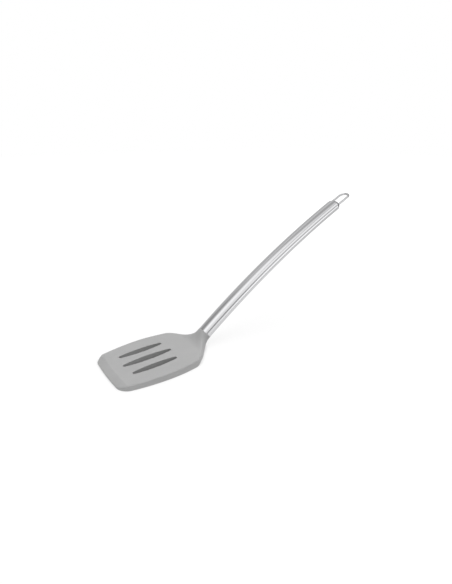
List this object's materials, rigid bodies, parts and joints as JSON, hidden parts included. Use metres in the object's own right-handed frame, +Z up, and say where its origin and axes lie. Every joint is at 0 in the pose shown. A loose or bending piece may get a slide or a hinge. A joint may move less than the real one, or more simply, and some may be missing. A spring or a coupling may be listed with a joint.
{
  "type": "slotted turner",
  "caption": "Slotted kitchen turner: grey silicone blade moulded over a stiff core, curved hollow steel handle of oval section, and a wire loop to hang it by.",
  "frame": {"origin": "on the surface that the blade lies on, under the middle of the tool's bounding box", "axes": "+X from the blade's front edge to the hanging loop, +Y to the left side of the blade seen from its front edge towards the handle, +Z up, away from the surface"},
  "size_m": [0.3126, 0.0764, 0.1378],
  "materials": {
    "silicone": "matte",
    "core": "matte",
    "resin": "glossy",
    "steel": "polished",
    "plug": "matte",
    "wire": "polished"
  },
  "bodies": {
    "root": {"blade_cover": "silicone", "blade_core": "core", "tang_adhesive": "resin", "handle_upper_shell": "steel", "handle_lower_shell": "steel", "end_plug": "plug", "hanging_loop": "wire"}
  },
  "joints": []
}
